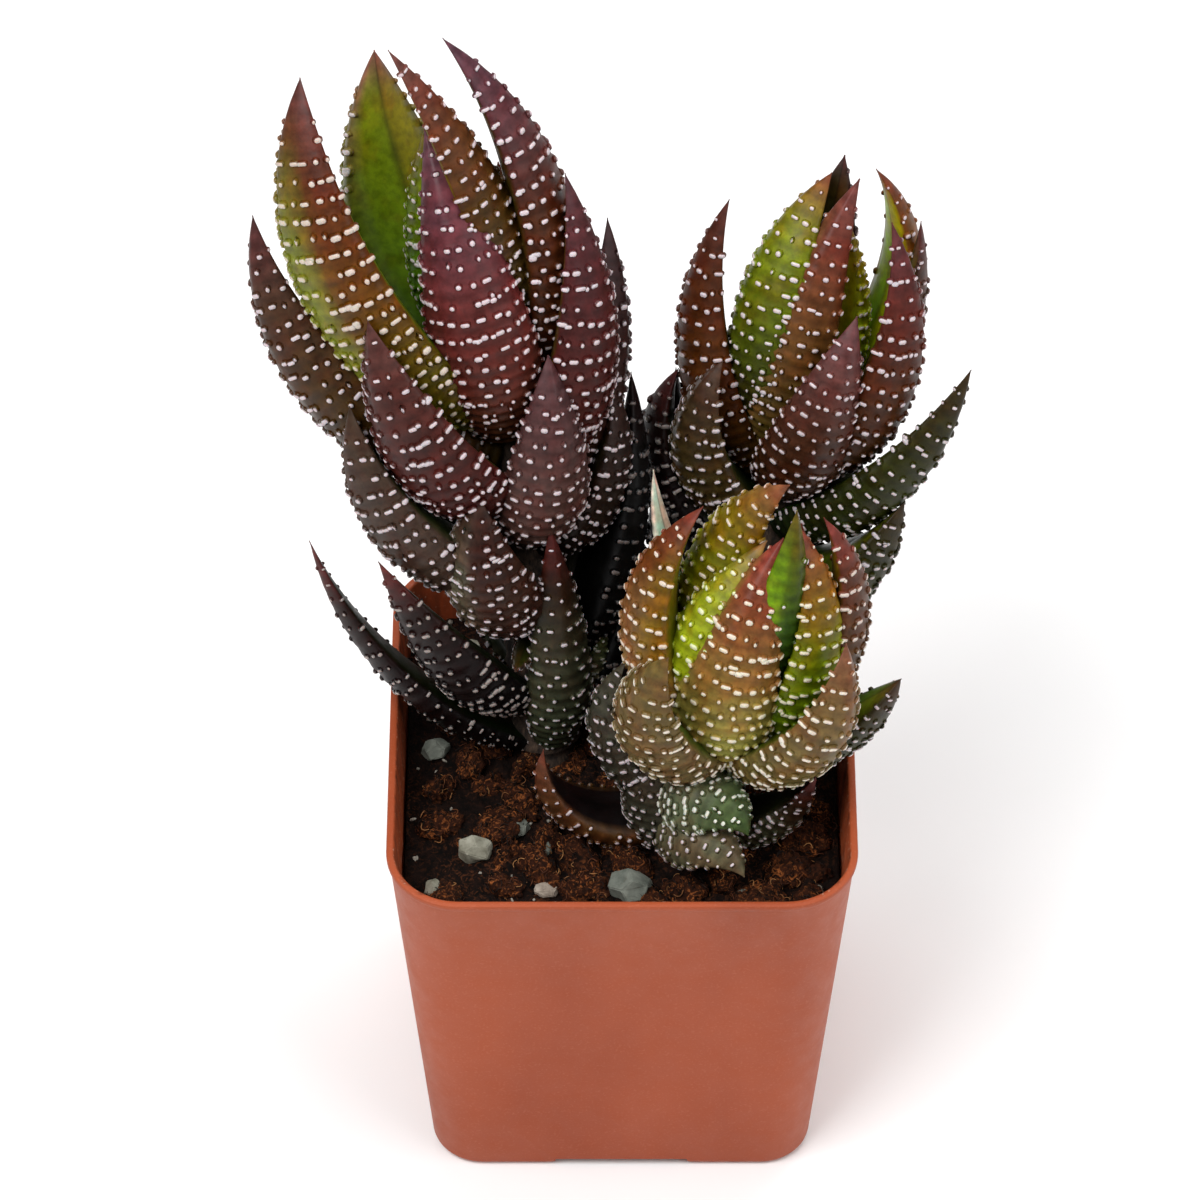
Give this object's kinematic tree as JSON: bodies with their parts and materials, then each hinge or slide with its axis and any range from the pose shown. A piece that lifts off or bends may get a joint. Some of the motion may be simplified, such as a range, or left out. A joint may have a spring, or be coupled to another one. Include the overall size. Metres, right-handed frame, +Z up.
{
  "type": "potted haworthia",
  "caption": "Clump of upright succulent rosettes with white-studded keeled leaves, in gritty soil in a square tapered nursery pot.",
  "frame": {"origin": "centre of the pot's underside, on the surface it stands on", "axes": "+Z up, +X to the right and -Y to the front, the side that the picture shows"},
  "size_m": [0.0972, 0.0824, 0.161],
  "materials": {
    "terracotta_plastic": "fine matte, terracotta colour",
    "potting_mix": "crumbly dark coir and bark",
    "leaf_purple": "satin leaf skin with white tubercles",
    "leaf_brown_green": "satin leaf skin with white tubercles",
    "leaf_yellow_green": "satin leaf skin with white tubercles",
    "grit_stone": "dull angular grit"
  },
  "bodies": {
    "root": {"pot": "terracotta_plastic", "soil": "potting_mix", "rosette_tall": "leaf_purple", "rosette_back": "leaf_brown_green", "rosette_front": "leaf_yellow_green", "stone_1": "grit_stone", "stone_2": "grit_stone", "stone_3": "grit_stone", "stone_4": "grit_stone", "stone_5": "grit_stone", "stone_6": "grit_stone", "stone_7": "grit_stone", "stone_8": "grit_stone", "stone_9": "grit_stone", "stone_10": "grit_stone", "stone_11": "grit_stone", "stone_12": "grit_stone"}
  },
  "joints": []
}
